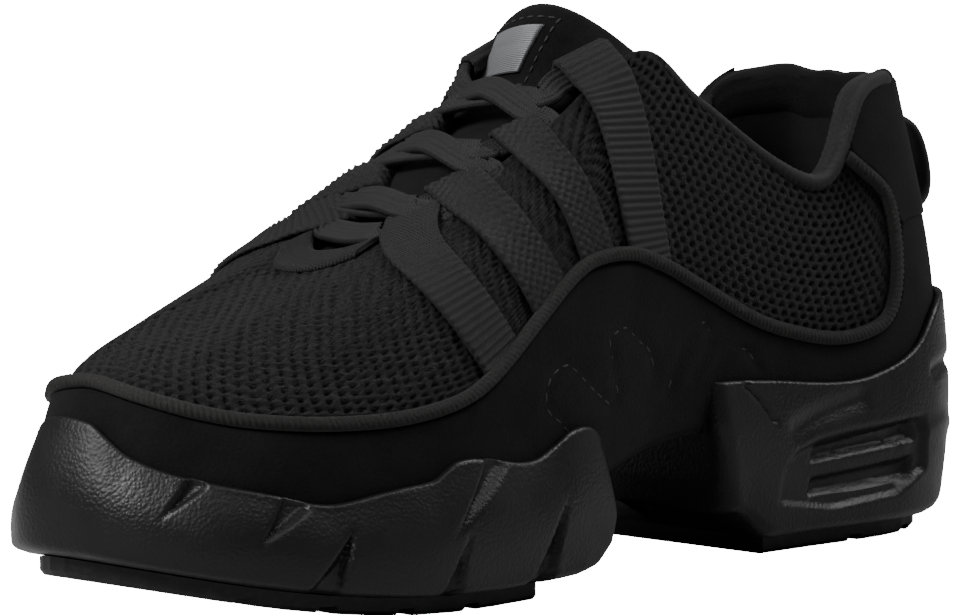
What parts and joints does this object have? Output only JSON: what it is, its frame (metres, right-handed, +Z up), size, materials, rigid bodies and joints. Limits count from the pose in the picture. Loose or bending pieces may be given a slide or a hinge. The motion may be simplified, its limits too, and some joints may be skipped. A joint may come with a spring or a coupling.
{
  "type": "dance sneaker",
  "caption": "Laced split-sole dance sneaker with a mesh upper, suede foxing, webbing straps, padded tongue, back pull loop and separate moulded heel and forefoot soles.",
  "frame": {"origin": "on the floor, under the middle of the shoe's bounding box", "axes": "+X from the heel to the toe, +Y to the wearer's left, which is the outer side, +Z up"},
  "size_m": [0.2694, 0.106, 0.1296],
  "materials": {
    "mesh_fabric": "matt",
    "suede": "napped",
    "moulded_rubber": "semi-gloss",
    "tread_rubber": "matt",
    "webbing": "ribbed",
    "stretch_knit": "smooth",
    "lining": "matt",
    "label_cloth": "satin"
  },
  "bodies": {
    "root": {"upper": "mesh_fabric", "foxing": "suede", "heel_tab": "stretch_knit", "piping": "webbing", "forefoot_sole": "moulded_rubber", "heel_sole": "moulded_rubber", "forefoot_tread": "tread_rubber", "heel_tread": "tread_rubber", "insole": "lining", "tongue": "lining", "tongue_label": "label_cloth", "throat_band": "stretch_knit", "lace_bar": "webbing", "pull_loop": "stretch_knit", "strap_outer_1": "webbing", "strap_outer_2": "webbing", "strap_outer_3": "webbing", "strap_outer_4": "webbing", "strap_inner_1": "webbing", "strap_inner_2": "webbing", "strap_inner_3": "webbing", "strap_inner_4": "webbing", "lace_cross_1": "webbing", "lace_cross_2": "webbing", "lace_cross_3": "webbing"}
  },
  "joints": []
}
